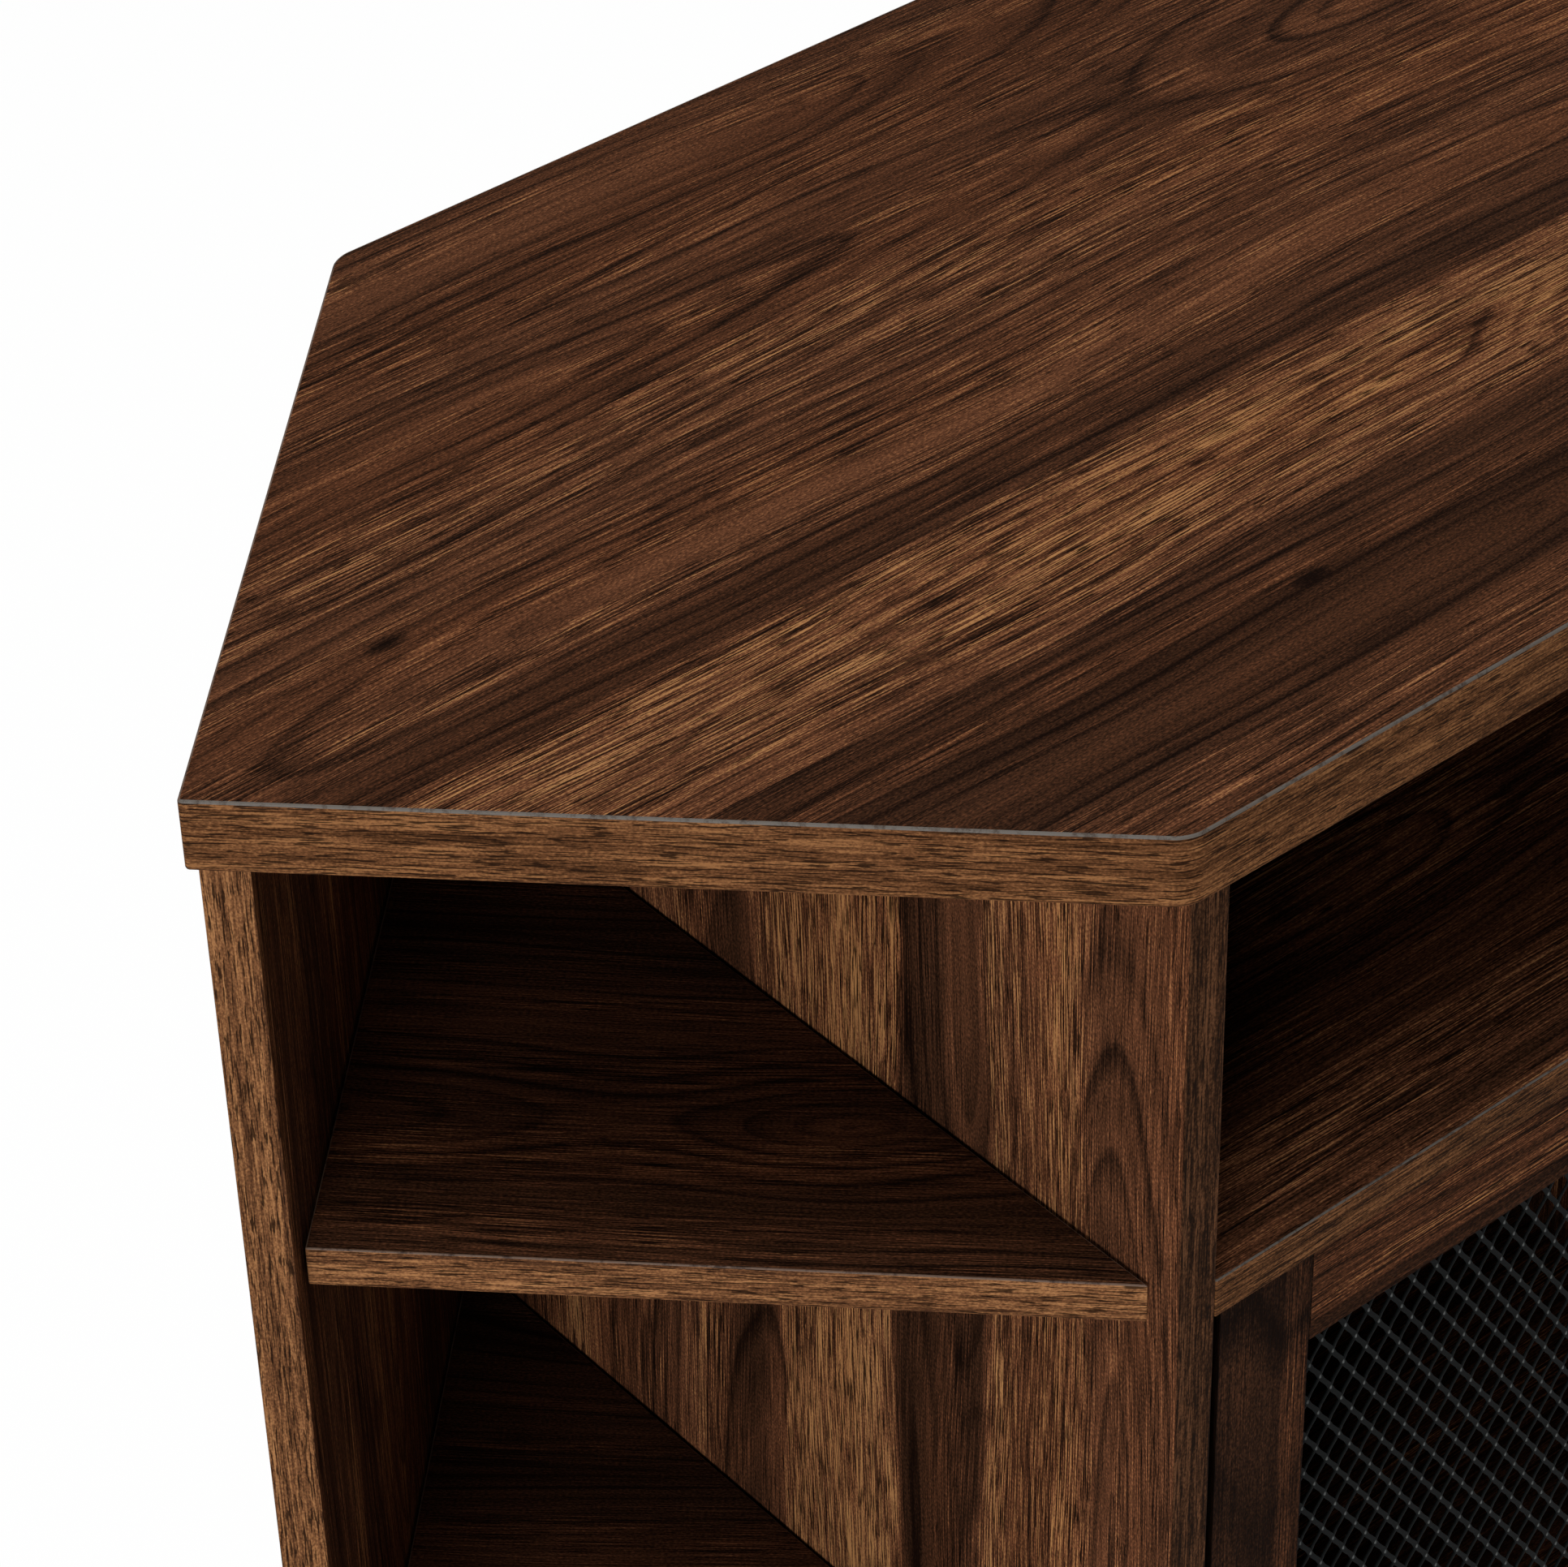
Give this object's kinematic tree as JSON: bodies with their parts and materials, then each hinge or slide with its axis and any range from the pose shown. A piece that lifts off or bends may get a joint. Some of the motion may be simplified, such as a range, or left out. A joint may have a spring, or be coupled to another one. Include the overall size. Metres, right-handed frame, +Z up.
{
  "type": "corner tv cabinet",
  "caption": "Low corner media cabinet in dark walnut laminate, with hinged mesh doors under an open bay and open angled corner shelves at both ends.",
  "frame": {"origin": "on the floor, at the middle of the footprint, door pulls included", "axes": "+X along the doors from the left wing to the right wing, -Y out of the doors, +Z up"},
  "size_m": [1.2178, 0.4242, 0.762],
  "materials": {
    "laminate": "satin dark walnut laminate with a fine grain",
    "hardboard": "matte dark brown hardboard",
    "black_steel": "satin black",
    "plated_steel": "bright zinc plating",
    "nylon": "natural nylon",
    "brown_plastic": "matte brown"
  },
  "bodies": {
    "cabinet": {"top_panel": "laminate", "bottom_panel": "laminate", "centre_shelf": "laminate", "centre_partition": "laminate", "back_panel": "hardboard", "front_kick_board": "laminate", "back_kick_board": "laminate", "left_divider": "laminate", "right_divider": "laminate", "left_side_panel": "laminate", "right_side_panel": "laminate", "left_kick_board": "laminate", "right_kick_board": "laminate", "left_upper_shelf": "laminate", "right_upper_shelf": "laminate", "left_lower_shelf": "laminate", "right_lower_shelf": "laminate", "left_inner_shelf": "laminate", "right_inner_shelf": "laminate", "left_upper_shelf_pin_front": "plated_steel", "left_upper_shelf_pin_back": "plated_steel", "left_upper_shelf_pin_side": "plated_steel", "left_lower_shelf_pin_front": "plated_steel", "left_lower_shelf_pin_back": "plated_steel", "left_lower_shelf_pin_side": "plated_steel", "right_upper_shelf_pin_front": "plated_steel", "right_upper_shelf_pin_back": "plated_steel", "right_upper_shelf_pin_side": "plated_steel", "right_lower_shelf_pin_front": "plated_steel", "right_lower_shelf_pin_back": "plated_steel", "right_lower_shelf_pin_side": "plated_steel", "left_tip_glide": "brown_plastic", "right_tip_glide": "brown_plastic", "left_rear_glide": "brown_plastic", "right_rear_glide": "brown_plastic", "left_front_glide": "brown_plastic", "right_front_glide": "brown_plastic", "left_magnetic_catch": "brown_plastic", "right_magnetic_catch": "brown_plastic", "left_pivot_bush": "nylon", "right_pivot_bush": "nylon"},
    "left_door": {"left_door_hinge_stile": "laminate", "left_door_meeting_stile": "laminate", "left_door_top_rail": "laminate", "left_door_bottom_rail": "laminate", "left_door_mesh": "black_steel", "left_door_pull": "black_steel", "left_door_strike_plate": "plated_steel", "left_upper_pivot_pin": "plated_steel", "left_lower_pivot_pin": "plated_steel"},
    "right_door": {"right_door_hinge_stile": "laminate", "right_door_meeting_stile": "laminate", "right_door_top_rail": "laminate", "right_door_bottom_rail": "laminate", "right_door_mesh": "black_steel", "right_door_pull": "black_steel", "right_door_strike_plate": "plated_steel", "right_upper_pivot_pin": "plated_steel", "right_lower_pivot_pin": "plated_steel"}
  },
  "joints": [
    {"name": "left_door_swing", "type": "hinge", "parent": "cabinet", "child": "left_door", "pos_m": [-0.375, -0.17388, 0.32975], "axis": [0, 0, -1], "range_deg": [0, 110]},
    {"name": "right_door_swing", "type": "hinge", "parent": "cabinet", "child": "right_door", "pos_m": [0.375, -0.17388, 0.32975], "axis": [0, 0, 1], "range_deg": [0, 110]}
  ]
}
